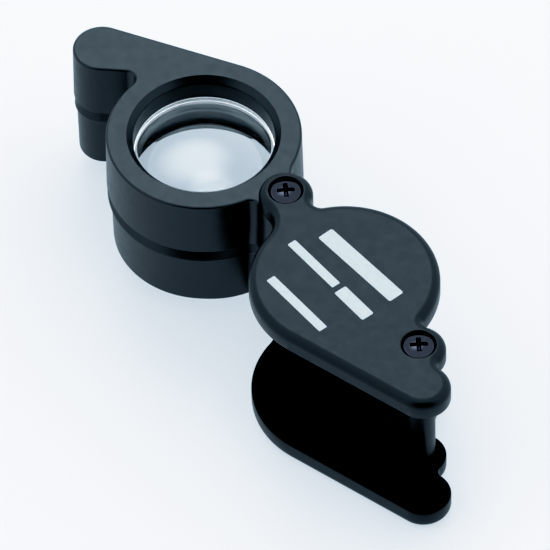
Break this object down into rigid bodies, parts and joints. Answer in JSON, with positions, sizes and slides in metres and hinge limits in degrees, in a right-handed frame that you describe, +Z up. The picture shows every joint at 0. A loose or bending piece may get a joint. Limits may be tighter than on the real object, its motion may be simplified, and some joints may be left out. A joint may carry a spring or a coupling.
{
  "type": "jewelers loupe",
  "caption": "Folding pocket loupe: a triplet lens head on a pivot swings out from between two lobed black case plates.",
  "frame": {"origin": "centre of the footprint of the unfolded loupe, on the surface the lower plate lies on", "axes": "+Z up, out of the top plate and along the hinge; +Y along the longest extent, from the case end towards the lens head"},
  "size_m": [0.0414, 0.0586, 0.0218],
  "materials": {
    "shell_black": "satin black moulded plastic",
    "screw_steel": "dark nickel-plated steel",
    "post_steel": "ground steel",
    "brass": "turned",
    "cell_aluminium": "turned, satin",
    "retainer_black": "black anodised",
    "washer_polymer": "plain",
    "lens_glass": "polished optical glass"
  },
  "bodies": {
    "case": {"plate_bottom": "shell_black", "plate_top": "shell_black", "pivot_post": "post_steel", "stop_post": "shell_black", "pivot_screw_top": "screw_steel", "pivot_screw_bottom": "screw_steel", "stop_screw_top": "screw_steel", "stop_screw_bottom": "screw_steel", "friction_washer_top": "washer_polymer", "friction_washer_bottom": "washer_polymer"},
    "head": {"head_upper": "shell_black", "head_lower": "shell_black", "pivot_bush": "brass", "tail_screw": "screw_steel", "lens_cell": "cell_aluminium", "lens_retainer": "retainer_black", "lens_front": "lens_glass", "lens_middle": "lens_glass", "lens_back": "lens_glass"}
  },
  "joints": [
    {"name": "head_swing", "type": "hinge", "parent": "case", "child": "head", "pos_m": [0.00309, 0.00197, 0.0109], "axis": [0, 0, 1], "range_deg": [-168, 163.5]}
  ]
}
